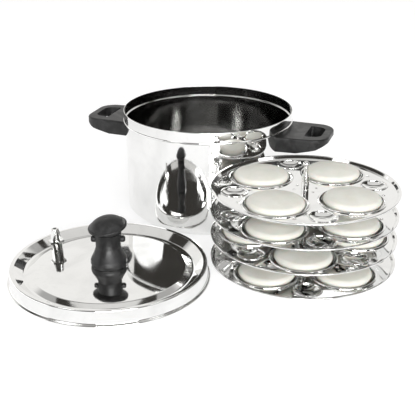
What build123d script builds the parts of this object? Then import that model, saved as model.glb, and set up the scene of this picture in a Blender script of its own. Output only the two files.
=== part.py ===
from build123d import *
import math
import os

os.makedirs("parts", exist_ok=True)

# Idli steamer laid out open: the pot behind, its lid on the floor at the
# front left, and the rack of four idli plates at the front right.
# Lengths are in millimetres and angles in degrees.
# The origin is the centre of the pot's base on the floor, +Z is up.

# Where the rack stands from the pot, and the lid from the rack: the turn of
# the line between their centres, and the gap that lets each be lifted clear
rack_azimuth = -60.04
rack_gap = 0.9
lid_azimuth = 185.3
lid_gap = 0.9

# Pot
pot_height = 135.0
body_radius = 105.2
pot_wall = 0.8
collar_step = 1.8
collar_height = 14.0
pot_bead_height = 2.2
pot_bead_stand_out = 0.8
ledge_drop = 1.0
pot_corner_radius = 8.0
base_disc_inset = 8.7
base_disc_height = 5.0
base_disc_bevel = 1.8

# Side handles
handle_azimuth = -18.5
handle_top_drop = 4.0
handle_reach = 54.0
handle_root_half_width = 38.0
handle_end_half_width = 34.5
handle_root_depth = 18.0
handle_mid_depth = 12.5
handle_tip_depth = 6.0
handle_flat_length = 18.0
handle_tip_length = 12.0
handle_end_radius = 21.0
handle_edge_radius = 2.2
handle_root_inset = 20.0
handle_gap = 0.15
finger_hole_start = 24.5
finger_hole_length = 20.0
finger_hole_half_width = 22.5
finger_hole_end_half_width = 19.0
finger_hole_end_radius = 10.0
finger_hole_root_radius = 3.0

# Welded bracket inside each side handle, and its screw
bracket_plate = 1.5
bracket_half_width = 13.0
bracket_height = 11.0
bracket_top_drop = 3.6
bracket_weld_gap = 0.1
bracket_inset = 4.0
tongue_reach = 17.0
tongue_half_width = 6.0
tongue_plate = 3.0
bracket_clearance = 0.3
handle_screw_radius = 2.4
handle_screw_clearance = 0.15
handle_screw_place = 11.0
handle_screw_length = 8.0
handle_screw_head_radius = 4.2
handle_screw_head_height = 2.8
handle_screw_sink = 4.0
handle_screw_slot = 1.0

# Lid
lid_wall = 0.7
lid_height = 17.6
lid_flange_width = 2.8
lid_flange_height = 2.4
lid_band_clearance = 2.2
lid_band_taper = 0.7
lid_channel_width = 4.6
lid_channel_slope = 10.9
lid_well_height = 9.2
lid_well_slope = 9.0
lid_dome_edge_height = 12.3
lid_dome_height = 15.6
lid_bend_radius = 1.3
lid_well_bend_radius = 4.0

# Knob on the lid
knob_base_radius = 19.0
knob_bell_radius = 20.2
knob_bell_height = 4.5
knob_neck_radius = 13.8
knob_neck_start = 17.0
knob_neck_end = 27.0
knob_stem_height = 38.0
knob_stem_top_radius = 14.8
knob_ear_height = 30.5
knob_ear_radius = 3.7
knob_ear_reach = 18.8
knob_ear_edge_radius = 2.4
knob_cap_half_length = 21.6
knob_cap_dome = 10.0
knob_cap_edge = 1.8
knob_cap_dish = 5.0
knob_cap_foot_radius = 13.4
knob_cap_side_tilt = -8.0
knob_cap_front_tilt = 5.0
knob_cap_lift = 45.5
knob_seat_gap = 0.02
knob_insert_radius = 4.0
knob_insert_length = 14.0
knob_insert_start = 2.0
knob_screw_radius = 2.4
knob_screw_clearance = 0.1
knob_screw_reach = 12.0
knob_screw_head_radius = 4.5
knob_screw_head_height = 2.2
knob_washer_radius = 8.0
knob_washer_plate = 0.8
knob_washer_gap = 0.05
knob_screw_slot = 1.0

# Steam vent in the lid
vent_azimuth = 150.0
vent_place = 73.0
vent_seat_radius = 6.6
vent_seat_height = 11.5
vent_foot_lift = 0.05
vent_nozzle_edge = 0.8
vent_nozzle_radius = 3.0
vent_nozzle_height = 8.0
vent_bore_radius = 1.5
vent_shank_radius = 4.4
vent_shank_length = 8.5
vent_shank_clearance = 0.15
vent_gasket_radius = 8.5
vent_gasket_plate = 1.6
vent_nut_radius = 7.6
vent_nut_height = 3.6
whistle_flange_radius = 9.2
whistle_flange_height = 2.8
whistle_root_radius = 5.8
whistle_tip_radius = 4.6
whistle_height = 16.8
whistle_bore_clearance = 0.3
whistle_outlet_radius = 2.2
whistle_edge_radius = 0.9

# Idli plates
plate_clearance = 1.4
plate_sheet = 0.8
plate_rim_height = 3.2
plate_rim_roll = 1.3
plate_rim_width = 2.6
plate_rim_slope = 2.0
plate_rim_bend_radius = 0.5
plate_floor_height = 14.0
plate_spacing = 27.6
cup_count = 4
cup_circle_radius = 58.0
cup_radius = 34.0
cup_depth = 14.0
cup_floor_radius = 15.0
cup_lip_height = 1.3
cup_lip_width = 2.2
cup_drain_radius = 1.2
small_cup_circle_radius = 77.5
small_cup_radius = 13.6
small_cup_depth = 4.6
small_cup_floor_radius = 7.0
small_cup_lip_height = 0.9
small_cup_lip_width = 1.6
steam_hole_circle_radius = 84.0
steam_hole_radius = 1.7
steam_hole_spread = 20.5
hub_hole_circle_radius = 12.5
hub_hole_radius = 1.3
hub_hole_count = 6
plate_turn_top = 7.0
plate_turn_second = 7.0
plate_turn_third = 39.3
plate_turn_bottom = -1.5

# Idlis in the big cups
idli_radius = 31.0
idli_rise = 9.5
idli_waist_rise = 2.0
idli_gap = 0.3

# Centre rod of the rack, its nuts and its spacers
rod_radius = 3.0
rod_fit = 0.05
rod_thread_rise = 12.0
rod_tail = 2.2
rod_end_bevel = 0.5
rod_nut_radius = 6.0
rod_nut_height = 5.0
spacer_radius = 4.0
finial_sleeve_height = 16.5
finial_stem_radius = 2.6
finial_stem_height = 9.5
finial_ball_radius = 3.5
finial_edge_radius = 0.7

# How far cutting tools run past the material
overrun = 1.0

# Sizes that follow from the ones above
body_inner_radius = body_radius - pot_wall
collar_radius = body_radius + collar_step
bead_radius = collar_radius + pot_bead_stand_out
base_disc_radius = body_radius - base_disc_inset
collar_base = pot_height - collar_height
handle_top = collar_base - handle_top_drop
handle_inner_radius = body_radius + handle_gap
handle_end = body_radius + handle_reach
lid_band_foot_radius = collar_radius + lid_band_clearance
lid_flange_radius = lid_band_foot_radius + lid_flange_width
lid_shoulder_radius = lid_band_foot_radius - lid_band_taper
lid_well_radius = lid_shoulder_radius - lid_channel_width - lid_channel_slope
lid_dome_edge_radius = lid_well_radius - lid_well_slope
plate_radius = body_inner_radius - plate_clearance
rack_distance = bead_radius + plate_radius + rack_gap
rack_x = rack_distance * math.cos(math.radians(rack_azimuth))
rack_y = rack_distance * math.sin(math.radians(rack_azimuth))
lid_distance = lid_flange_radius + plate_radius + lid_gap
lid_x = rack_x + lid_distance * math.cos(math.radians(lid_azimuth))
lid_y = rack_y + lid_distance * math.sin(math.radians(lid_azimuth))


def radial_plane(azimuth, height):
    """Level plane on the pot's axis whose X runs out along the azimuth."""
    turn = math.radians(azimuth)
    return Plane(
        origin=(0, 0, height),
        x_dir=(math.cos(turn), math.sin(turn), 0),
        z_dir=(0, 0, 1),
    )


def upright_plane(azimuth, height):
    """Upright plane through the pot's axis: X runs outward and Y runs up."""
    turn = math.radians(azimuth)
    return Plane(
        origin=(0, 0, height),
        x_dir=(math.cos(turn), math.sin(turn), 0),
        z_dir=(math.sin(turn), -math.cos(turn), 0),
    )


def save(piece, label):
    """Name a finished piece and write it as its own file."""
    piece.label = label
    export_step(piece, f"parts/{label}.step")


# Pot shell: drawn cup with a widened collar that stands on a bead
collar_inner_radius = collar_radius - pot_wall
corner_share = math.sqrt(0.5)
shell_corner_centre = base_disc_height + pot_corner_radius
corner_inset = body_radius - pot_corner_radius
inner_corner_radius = pot_corner_radius - pot_wall
collar_middle_radius = collar_radius - pot_wall / 2
rim_round = pot_wall / 2
with BuildPart() as pot_shell:
    with BuildSketch(Plane.XZ) as pot_section:
        with BuildLine():
            Line((0, base_disc_height), (corner_inset, base_disc_height))
            ThreePointArc(
                (corner_inset, base_disc_height),
                (
                    corner_inset + pot_corner_radius * corner_share,
                    shell_corner_centre - pot_corner_radius * corner_share,
                ),
                (body_radius, shell_corner_centre),
            )
            Line((body_radius, shell_corner_centre), (body_radius, collar_base))
            ThreePointArc(
                (body_radius, collar_base),
                (bead_radius, collar_base + pot_bead_height / 2),
                (collar_radius, collar_base + pot_bead_height),
            )
            Line((collar_radius, collar_base + pot_bead_height), (collar_radius, pot_height - rim_round))
            ThreePointArc(
                (collar_radius, pot_height - rim_round),
                (collar_middle_radius, pot_height),
                (collar_inner_radius, pot_height - rim_round),
            )
            Polyline(
                (collar_inner_radius, pot_height - rim_round),
                (collar_inner_radius, collar_base + pot_bead_height),
                (body_inner_radius, collar_base + pot_bead_height - ledge_drop),
                (body_inner_radius, shell_corner_centre),
            )
            ThreePointArc(
                (body_inner_radius, shell_corner_centre),
                (
                    corner_inset + inner_corner_radius * corner_share,
                    shell_corner_centre - inner_corner_radius * corner_share,
                ),
                (corner_inset, base_disc_height + pot_wall),
            )
            Line((corner_inset, base_disc_height + pot_wall), (0, base_disc_height + pot_wall))
            Line((0, base_disc_height + pot_wall), (0, base_disc_height))
        make_face()
    revolve(axis=Axis.Z)
save(pot_shell.part, "pot_shell")

# Thick heat spreading disc under the pot
with BuildPart() as pot_base_disc:
    with BuildSketch():
        Circle(base_disc_radius)
    extrude(amount=base_disc_height)
    chamfer(pot_base_disc.faces().sort_by(Axis.Z)[0].edges(), length=base_disc_bevel)
save(pot_base_disc.part, "pot_base_disc")


def bracket_outline(azimuth, clearance):
    """Curved plate of a bracket seen from above, grown by a clearance."""
    inner_radius = body_radius + bracket_weld_gap
    outer_radius = inner_radius + bracket_plate
    half_width = bracket_half_width + clearance
    with BuildSketch(radial_plane(azimuth, 0)) as outline:
        with Locations((outer_radius - bracket_inset, 0)):
            Rectangle(2 * bracket_inset, 2 * half_width)
        Circle(outer_radius + clearance, mode=Mode.INTERSECT)
        Circle(inner_radius - clearance, mode=Mode.SUBTRACT)
    return outline.sketch


bracket_top = handle_top - bracket_top_drop
tongue_middle = bracket_top - bracket_height / 2
screw_radius_from_axis = body_radius + handle_screw_place


def bracket_solid(azimuth, clearance):
    """Bracket as a solid, or grown by a clearance to cut its pocket."""
    with BuildPart() as bracket:
        add(Location((0, 0, bracket_top - bracket_height - clearance)) * bracket_outline(azimuth, clearance))
        extrude(amount=bracket_height + 2 * clearance, dir=(0, 0, 1))
        with BuildSketch(radial_plane(azimuth, tongue_middle - tongue_plate / 2 - clearance / 2)):
            with Locations((body_radius + bracket_plate / 2, 0)):
                Rectangle(
                    tongue_reach + clearance,
                    2 * (tongue_half_width + clearance),
                    align=(Align.MIN, Align.CENTER),
                )
        extrude(amount=tongue_plate + clearance)
    return bracket.part


def side_handle(azimuth):
    """Moulded side handle with a D shaped finger hole and a pocket for its bracket."""
    handle_bottom = handle_top - handle_root_depth
    end_start = handle_end - handle_tip_length
    with BuildPart() as handle:
        with BuildSketch(radial_plane(azimuth, handle_bottom)):
            with BuildLine():
                Polyline(
                    (body_radius - handle_root_inset, -handle_root_half_width),
                    (handle_end, -handle_end_half_width),
                    (handle_end, handle_end_half_width),
                    (body_radius - handle_root_inset, handle_root_half_width),
                    close=True,
                )
            make_face()
            fillet(vertices().sort_by(Axis.X)[-2:], radius=handle_end_radius)
            Circle(handle_inner_radius, mode=Mode.SUBTRACT)
        extrude(amount=handle_root_depth)
        with BuildSketch(upright_plane(azimuth, handle_top)):
            with BuildLine():
                Polyline(
                    (body_radius + handle_flat_length, -handle_root_depth),
                    (end_start, -handle_mid_depth),
                    (handle_end + overrun, -handle_tip_depth),
                    (handle_end + overrun, -handle_root_depth - overrun),
                    (body_radius + handle_flat_length, -handle_root_depth - overrun),
                    close=True,
                )
            make_face()
        extrude(amount=handle_root_half_width + overrun, both=True, mode=Mode.SUBTRACT)
        outward = Axis((0, 0, 0), radial_plane(azimuth, 0).x_dir)
        top_edges = handle.faces().sort_by(Axis.Z)[-1].edges().sort_by(outward)[1:]
        fillet(top_edges, radius=handle_edge_radius)
        with BuildSketch(radial_plane(azimuth, handle_bottom - overrun)):
            with BuildLine():
                hole_end = finger_hole_start + finger_hole_length
                Polyline(
                    (body_radius + finger_hole_start, -finger_hole_half_width),
                    (body_radius + hole_end, -finger_hole_end_half_width),
                    (body_radius + hole_end, finger_hole_end_half_width),
                    (body_radius + finger_hole_start, finger_hole_half_width),
                    close=True,
                )
            make_face()
            fillet(vertices().sort_by(Axis.X)[-2:], radius=finger_hole_end_radius)
            fillet(vertices().sort_by(Axis.X)[:2], radius=finger_hole_root_radius)
        extrude(amount=handle_root_depth + 2 * overrun, mode=Mode.SUBTRACT)
        add(bracket_solid(azimuth, bracket_clearance), mode=Mode.SUBTRACT)
        with BuildSketch(radial_plane(azimuth, handle_bottom - overrun)):
            with Locations((screw_radius_from_axis, 0)):
                Circle(handle_screw_head_radius + handle_screw_clearance)
        extrude(amount=handle_screw_sink + overrun, mode=Mode.SUBTRACT)
        with BuildSketch(radial_plane(azimuth, handle_bottom)):
            with Locations((screw_radius_from_axis, 0)):
                Circle(handle_screw_radius + handle_screw_clearance)
        extrude(amount=handle_screw_sink + handle_screw_length + overrun, mode=Mode.SUBTRACT)
    return handle.part


handle_sides = {"side_handle_right": handle_azimuth, "side_handle_left": handle_azimuth + 180}
for handle_name, azimuth in handle_sides.items():
    save(side_handle(azimuth), handle_name)

# Brackets welded to the pot, one for each side handle
with BuildPart() as handle_brackets:
    for azimuth in handle_sides.values():
        add(bracket_solid(azimuth, 0))
        with BuildSketch(radial_plane(azimuth, bracket_top)):
            with Locations((screw_radius_from_axis, 0)):
                Circle(handle_screw_radius + handle_screw_clearance)
        extrude(amount=-bracket_height, mode=Mode.SUBTRACT)
save(handle_brackets.part, "handle_brackets")

# Screws that hold the side handles from below
screw_seat = handle_top - handle_root_depth + handle_screw_sink
with BuildPart() as handle_screws:
    for azimuth in handle_sides.values():
        with BuildSketch(radial_plane(azimuth, screw_seat)):
            with Locations((screw_radius_from_axis, 0)):
                Circle(handle_screw_head_radius)
        extrude(amount=-handle_screw_head_height)
        with BuildSketch(radial_plane(azimuth, screw_seat)):
            with Locations((screw_radius_from_axis, 0)):
                Circle(handle_screw_radius)
        extrude(amount=handle_screw_length)
        with BuildSketch(radial_plane(azimuth, screw_seat - handle_screw_head_height)):
            with Locations((screw_radius_from_axis, 0)):
                Rectangle(2 * (handle_screw_head_radius + overrun), handle_screw_slot)
        extrude(amount=handle_screw_slot, mode=Mode.SUBTRACT)
save(handle_screws.part, "handle_screws")

# Lid: pressed sheet with a raised channel that caps the pot's collar
lid_section_plane = Plane(origin=(lid_x, lid_y, 0), x_dir=(1, 0, 0), z_dir=(0, -1, 0))
lid_axis = Axis((lid_x, lid_y, 0), (0, 0, 1))
dome_rise = lid_dome_height - lid_dome_edge_height
dome_ball_radius = (lid_dome_edge_radius**2 + dome_rise**2) / (2 * dome_rise)


def dome_height_at(radius):
    """Height of the lid's outer face at a radius inside its dome edge."""
    return lid_dome_height - dome_ball_radius + math.sqrt(dome_ball_radius**2 - radius**2)


knob_hole_radius = knob_screw_radius + knob_screw_clearance
dome_middle = (knob_hole_radius + lid_dome_edge_radius) / 2
vent_turn = math.radians(vent_azimuth)
vent_tilt = math.asin(vent_place / dome_ball_radius)
vent_origin = (
    lid_x + vent_place * math.cos(vent_turn),
    lid_y + vent_place * math.sin(vent_turn),
    dome_height_at(vent_place),
)
vent_axis = (
    math.sin(vent_tilt) * math.cos(vent_turn),
    math.sin(vent_tilt) * math.sin(vent_turn),
    math.cos(vent_tilt),
)
vent_plane = Plane(origin=vent_origin, x_dir=(-math.sin(vent_turn), math.cos(vent_turn), 0), z_dir=vent_axis)
vent_section_plane = Plane(
    origin=vent_origin,
    x_dir=(-math.sin(vent_turn), math.cos(vent_turn), 0),
    z_dir=vent_plane.y_dir * -1,
)
vent_line = Axis(vent_origin, vent_axis)

with BuildPart() as lid_shell:
    with BuildSketch(lid_section_plane):
        with BuildLine():
            dome_line = ThreePointArc(
                (knob_hole_radius, dome_height_at(knob_hole_radius)),
                (dome_middle, dome_height_at(dome_middle)),
                (lid_dome_edge_radius, lid_dome_edge_height),
            )
            FilletPolyline(
                (lid_dome_edge_radius, lid_dome_edge_height),
                (lid_well_radius, lid_well_height),
                (lid_shoulder_radius - lid_channel_width, lid_height),
                (lid_shoulder_radius, lid_height),
                (lid_band_foot_radius, lid_flange_height),
                (lid_flange_radius, lid_flange_height),
                (lid_flange_radius, 0),
                radius=[lid_well_bend_radius] + 4 * [lid_bend_radius],
            )
            offset(amount=lid_wall, side=Side.RIGHT)
        make_face()
    revolve(axis=lid_axis)
    with BuildSketch(vent_plane.offset(overrun)):
        Circle(vent_shank_radius + vent_shank_clearance)
    extrude(amount=-2 * overrun - lid_wall, mode=Mode.SUBTRACT)
save(lid_shell.part, "lid_shell")


# Knob stem: bell shaped foot, neck and two side ears, moulded in one
knob_base = lid_dome_height + knob_seat_gap
knob_level_plane = Plane(origin=(lid_x, lid_y, knob_base))
knob_side_plane = Plane(
    origin=(lid_x, lid_y, knob_base + knob_ear_height),
    x_dir=(0, 1, 0),
    z_dir=(1, 0, 0),
)
bell_waist_share = 0.84
cap_middle_share = 0.56
cap_middle_rise_share = 0.8
with BuildPart() as knob_stem:
    with BuildSketch(Plane(origin=(lid_x, lid_y, knob_base), x_dir=(1, 0, 0), z_dir=(0, -1, 0))):
        with BuildLine():
            Polyline(
                (0, knob_stem_height),
                (0, 0),
                (knob_base_radius, 0),
            )
            ThreePointArc(
                (knob_base_radius, 0),
                (knob_bell_radius, knob_bell_height),
                (knob_base_radius, 2 * knob_bell_height),
            )
            ThreePointArc(
                (knob_base_radius, 2 * knob_bell_height),
                (knob_neck_radius / bell_waist_share, knob_neck_start * bell_waist_share),
                (knob_neck_radius, knob_neck_start + knob_bell_height),
            )
            Polyline(
                (knob_neck_radius, knob_neck_start + knob_bell_height),
                (knob_neck_radius, knob_neck_end),
                (knob_stem_top_radius, knob_stem_height),
                (0, knob_stem_height),
            )
        make_face()
    revolve(axis=lid_axis)
    with BuildSketch(knob_side_plane):
        Circle(knob_ear_radius)
    extrude(amount=knob_ear_reach, both=True)
    ear_ends = knob_stem.faces().filter_by(GeomType.PLANE).filter_by(Axis.X).edges()
    fillet(ear_ends, radius=knob_ear_edge_radius)
    with BuildSketch(knob_level_plane.offset(knob_insert_start)):
        Circle(knob_insert_radius)
    extrude(amount=knob_insert_length, mode=Mode.SUBTRACT)
    with BuildSketch(knob_level_plane):
        Circle(knob_hole_radius)
    extrude(amount=knob_insert_start, mode=Mode.SUBTRACT)
save(knob_stem.part, "knob_stem")

# Knob cap: slanted dome on a round foot that stands on the stem
with BuildPart() as knob_cap_form:
    with BuildSketch(Plane.XZ):
        with BuildLine():
            ThreePointArc(
                (0, knob_cap_dome),
                (knob_cap_half_length * cap_middle_share, knob_cap_dome * cap_middle_rise_share),
                (knob_cap_half_length - knob_cap_edge, knob_cap_edge),
            )
            ThreePointArc(
                (knob_cap_half_length - knob_cap_edge, knob_cap_edge),
                (knob_cap_half_length, 0),
                (knob_cap_half_length - knob_cap_edge, -knob_cap_edge),
            )
            Polyline(
                (knob_cap_half_length - knob_cap_edge, -knob_cap_edge),
                (knob_cap_foot_radius, -knob_cap_dish),
                (0, -knob_cap_dish),
                (0, knob_cap_dome),
            )
        make_face()
    revolve(axis=Axis.Z)
cap_place = Location(
    (lid_x, lid_y, knob_base + knob_cap_lift),
    (knob_cap_front_tilt, knob_cap_side_tilt, 0),
)
with BuildPart() as knob_cap:
    with BuildSketch(knob_level_plane.offset(knob_stem_height)):
        Circle(knob_cap_foot_radius)
    extrude(amount=knob_cap_lift - knob_stem_height)
    add(cap_place * knob_cap_form.part)
save(knob_cap.part, "knob_cap")

# Brass insert in the knob, and the screw and washer under the lid
with BuildPart() as knob_insert:
    with BuildSketch(knob_level_plane.offset(knob_insert_start)):
        Circle(knob_insert_radius)
        Circle(knob_hole_radius, mode=Mode.SUBTRACT)
    extrude(amount=knob_insert_length)
save(knob_insert.part, "knob_insert")

washer_top = lid_dome_height - lid_wall - knob_washer_gap
with BuildPart() as knob_washer:
    with BuildSketch(Plane(origin=(lid_x, lid_y, washer_top))):
        Circle(knob_washer_radius)
        Circle(knob_hole_radius, mode=Mode.SUBTRACT)
    extrude(amount=-knob_washer_plate)
save(knob_washer.part, "knob_washer")

head_top = washer_top - knob_washer_plate
with BuildPart() as knob_screw:
    with BuildSketch(Plane(origin=(lid_x, lid_y, head_top))):
        Circle(knob_screw_head_radius)
    extrude(amount=-knob_screw_head_height)
    with BuildSketch(Plane(origin=(lid_x, lid_y, head_top))):
        Circle(knob_screw_radius)
    extrude(amount=knob_base - head_top + knob_screw_reach)
    with BuildSketch(Plane(origin=(lid_x, lid_y, head_top - knob_screw_head_height))):
        Rectangle(2 * (knob_screw_head_radius + overrun), knob_screw_slot)
    extrude(amount=knob_screw_slot, mode=Mode.SUBTRACT)
save(knob_screw.part, "knob_screw")

# Steam vent pipe: seat and nozzle above the lid, threaded shank below it
with BuildPart() as vent_pipe:
    with BuildSketch(vent_section_plane):
        with BuildLine():
            Polyline(
                (vent_bore_radius, -vent_shank_length),
                (vent_shank_radius, -vent_shank_length),
                (vent_shank_radius, vent_foot_lift),
                (vent_seat_radius, vent_foot_lift),
                (vent_seat_radius, vent_seat_height),
                (vent_nozzle_radius, vent_seat_height),
                (vent_nozzle_radius, vent_seat_height + vent_nozzle_height - vent_nozzle_edge),
                (vent_nozzle_radius - vent_nozzle_edge, vent_seat_height + vent_nozzle_height),
                (vent_bore_radius, vent_seat_height + vent_nozzle_height),
                close=True,
            )
        make_face()
    revolve(axis=vent_line)
save(vent_pipe.part, "vent_pipe")

# Whistle: hexagon and cone that drop over the nozzle and stand on the seat
whistle_bore_radius = vent_nozzle_radius + whistle_bore_clearance
whistle_bore_end = vent_seat_height + vent_nozzle_height + vent_nozzle_edge
whistle_end = vent_seat_height + whistle_height
with BuildPart() as vent_whistle:
    with BuildSketch(vent_plane.offset(vent_seat_height)):
        RegularPolygon(radius=whistle_flange_radius, side_count=6)
    extrude(amount=whistle_flange_height)
    with BuildSketch(vent_section_plane):
        with BuildLine():
            Polyline(
                (0, vent_seat_height),
                (whistle_root_radius, vent_seat_height),
                (whistle_root_radius, vent_seat_height + whistle_flange_height),
                (whistle_tip_radius, whistle_end - whistle_edge_radius),
            )
            ThreePointArc(
                (whistle_tip_radius, whistle_end - whistle_edge_radius),
                (
                    whistle_tip_radius - whistle_edge_radius * (1 - corner_share),
                    whistle_end - whistle_edge_radius * (1 - corner_share),
                ),
                (whistle_tip_radius - whistle_edge_radius, whistle_end),
            )
            Polyline(
                (whistle_tip_radius - whistle_edge_radius, whistle_end),
                (0, whistle_end),
                (0, vent_seat_height),
            )
        make_face()
    revolve(axis=vent_line)
    with BuildSketch(vent_plane.offset(vent_seat_height)):
        Circle(whistle_bore_radius)
    extrude(amount=whistle_bore_end - vent_seat_height, mode=Mode.SUBTRACT)
    with BuildSketch(vent_plane.offset(vent_seat_height)):
        Circle(whistle_outlet_radius)
    extrude(amount=whistle_height + overrun, mode=Mode.SUBTRACT)
save(vent_whistle.part, "vent_whistle")

# Gasket and nut that hold the vent pipe from below the lid
gasket_top = -lid_wall - vent_foot_lift
shank_hole_radius = vent_shank_radius + vent_shank_clearance
with BuildPart() as vent_gasket:
    with BuildSketch(vent_plane.offset(gasket_top)):
        Circle(vent_gasket_radius)
        Circle(shank_hole_radius, mode=Mode.SUBTRACT)
    extrude(amount=-vent_gasket_plate)
save(vent_gasket.part, "vent_gasket")

with BuildPart() as vent_nut:
    with BuildSketch(vent_plane.offset(gasket_top - vent_gasket_plate)):
        RegularPolygon(radius=vent_nut_radius, side_count=6)
        Circle(shank_hole_radius, mode=Mode.SUBTRACT)
    extrude(amount=-vent_nut_height)
save(vent_nut.part, "vent_nut")


def rack_plane(height):
    """Level plane on the rack's axis."""
    return Plane(origin=(rack_x, rack_y, height))


def rack_section_plane(height):
    """Upright plane through the rack's axis: X runs outward and Y runs up."""
    return Plane(origin=(rack_x, rack_y, height), x_dir=(1, 0, 0), z_dir=(0, -1, 0))


rack_axis = Axis((rack_x, rack_y, 0), (0, 0, 1))
rod_hole_radius = rod_radius + rod_fit
bowl_bulge_share = 0.6


def bowl_form(mouth_radius, floor_radius, depth, mouth, top):
    """Solid of revolution that fills a cup: curved up to its mouth and straight on to its top."""
    across = mouth_radius - floor_radius
    with BuildPart() as bowl:
        with BuildSketch(Plane.XZ):
            with BuildLine():
                Line((0, -depth), (floor_radius, -depth))
                ThreePointArc(
                    (floor_radius, -depth),
                    (floor_radius + across * bowl_bulge_share, -depth * bowl_bulge_share),
                    (mouth_radius, mouth),
                )
                Polyline((mouth_radius, mouth), (mouth_radius, top), (0, top), (0, -depth))
            make_face()
        revolve(axis=Axis.Z)
    return bowl.part


def lip_form(mouth_radius, width, height):
    """Rounded ring that is raised around a cup's mouth."""
    with BuildPart() as lip:
        with BuildSketch(Plane.XZ):
            with BuildLine():
                ThreePointArc(
                    (mouth_radius, 0),
                    (mouth_radius + width / 2, height),
                    (mouth_radius + width, 0),
                )
                Polyline(
                    (mouth_radius + width, 0),
                    (mouth_radius + width, -plate_sheet / 2),
                    (mouth_radius, -plate_sheet / 2),
                    (mouth_radius, 0),
                )
            make_face()
        revolve(axis=Axis.Z)
    return lip.part


mouth_low = -plate_sheet
mouth_high = -plate_sheet / 2
cup_outside = bowl_form(cup_radius + plate_sheet, cup_floor_radius, cup_depth, mouth_low, mouth_high)
cup_inside = bowl_form(
    cup_radius,
    cup_floor_radius - plate_sheet,
    cup_depth - plate_sheet,
    mouth_low,
    cup_lip_height + overrun,
)
cup_lip = lip_form(cup_radius, cup_lip_width, cup_lip_height)
small_outside = bowl_form(
    small_cup_radius + plate_sheet,
    small_cup_floor_radius,
    small_cup_depth,
    mouth_low,
    mouth_high,
)
small_inside = bowl_form(
    small_cup_radius,
    small_cup_floor_radius - plate_sheet,
    small_cup_depth - plate_sheet,
    mouth_low,
    small_cup_lip_height + overrun,
)
small_lip = lip_form(small_cup_radius, small_cup_lip_width, small_cup_lip_height)
quarter_turn = 360 / cup_count
small_cup_shift = quarter_turn / 2


def idli_plate(floor_height, turn):
    """Round plate with four idli cups, four small cups and steam holes."""
    edge = plate_radius - plate_rim_width
    with BuildPart() as plate:
        with BuildSketch(rack_section_plane(floor_height)):
            with BuildLine():
                FilletPolyline(
                    (rod_hole_radius, 0),
                    (edge - plate_rim_slope, 0),
                    (edge, plate_rim_height),
                    (plate_radius, plate_rim_height),
                    (plate_radius, plate_rim_height - plate_rim_roll),
                    radius=plate_rim_bend_radius,
                )
                offset(amount=plate_sheet, side=Side.RIGHT)
            make_face()
        revolve(axis=rack_axis)
        with Locations((rack_x, rack_y, floor_height)):
            with PolarLocations(cup_circle_radius, cup_count, start_angle=turn + small_cup_shift):
                add(cup_outside)
                add(cup_lip)
                add(cup_inside, mode=Mode.SUBTRACT)
            with PolarLocations(small_cup_circle_radius, cup_count, start_angle=turn):
                add(small_outside)
                add(small_lip)
                add(small_inside, mode=Mode.SUBTRACT)
        with BuildSketch(rack_plane(floor_height + overrun)):
            for side in (-1, 1):
                spread = turn + side * steam_hole_spread
                with PolarLocations(steam_hole_circle_radius, cup_count, start_angle=spread):
                    Circle(steam_hole_radius)
            with PolarLocations(hub_hole_circle_radius, hub_hole_count, start_angle=turn):
                Circle(hub_hole_radius)
            with PolarLocations(cup_circle_radius, cup_count, start_angle=turn + small_cup_shift):
                Circle(cup_drain_radius)
        extrude(amount=-cup_depth - 2 * overrun, mode=Mode.SUBTRACT)
    return plate.part


plate_turns = {
    "bottom": plate_turn_bottom,
    "third": plate_turn_third,
    "second": plate_turn_second,
    "top": plate_turn_top,
}
for level, (tier, turn) in enumerate(plate_turns.items()):
    save(idli_plate(plate_floor_height + level * plate_spacing, turn), f"{tier}_plate")

# Steamed idlis, four to a plate: flat foot, round waist above the cup and a low crown
idli_depth = cup_depth - plate_sheet
idli_floor_radius = cup_floor_radius - plate_sheet - idli_gap
idli_across = idli_radius - idli_floor_radius
idli_shoulder_share = 0.88
idli_shoulder_rise_share = 0.7
idli_edge_share = 0.965
idli_edge_rise_share = 0.52
idli_shoulder_radius = idli_radius * idli_shoulder_share
idli_shoulder_height = idli_rise * idli_shoulder_rise_share
crown_rise = idli_rise - idli_shoulder_height
crown_ball_radius = (idli_shoulder_radius**2 + crown_rise**2) / (2 * crown_rise)
crown_middle = idli_shoulder_radius / 2
crown_middle_drop = crown_ball_radius - math.sqrt(crown_ball_radius**2 - crown_middle**2)
with BuildPart() as idli_form:
    with BuildSketch(Plane.XZ):
        with BuildLine():
            Line((0, -idli_depth), (idli_floor_radius, -idli_depth))
            ThreePointArc(
                (idli_floor_radius, -idli_depth),
                (
                    idli_floor_radius + idli_across * bowl_bulge_share,
                    -idli_depth * bowl_bulge_share,
                ),
                (idli_radius, idli_waist_rise),
            )
            ThreePointArc(
                (idli_radius, idli_waist_rise),
                (idli_radius * idli_edge_share, idli_rise * idli_edge_rise_share),
                (idli_shoulder_radius, idli_shoulder_height),
            )
            ThreePointArc(
                (idli_shoulder_radius, idli_shoulder_height),
                (crown_middle, idli_rise - crown_middle_drop),
                (0, idli_rise),
            )
            Line((0, idli_rise), (0, -idli_depth))
        make_face()
    revolve(axis=Axis.Z)
for level, (tier, turn) in enumerate(plate_turns.items()):
    with BuildPart() as idlis:
        with Locations((rack_x, rack_y, plate_floor_height + level * plate_spacing)):
            with PolarLocations(cup_circle_radius, cup_count, start_angle=turn + small_cup_shift):
                add(idli_form.part)
    save(idlis.part, f"{tier}_idlis")

# Centre rod with its nut under the bottom plate
top_floor = plate_floor_height + (len(plate_turns) - 1) * plate_spacing
nut_top = plate_floor_height - plate_sheet
rod_bottom = nut_top - rod_nut_height - rod_tail
with BuildPart() as center_rod:
    with BuildSketch(rack_plane(rod_bottom)):
        Circle(rod_radius)
    extrude(amount=top_floor + rod_thread_rise - rod_bottom)
    chamfer(center_rod.edges().filter_by(GeomType.CIRCLE), length=rod_end_bevel)
save(center_rod.part, "center_rod")

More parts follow.
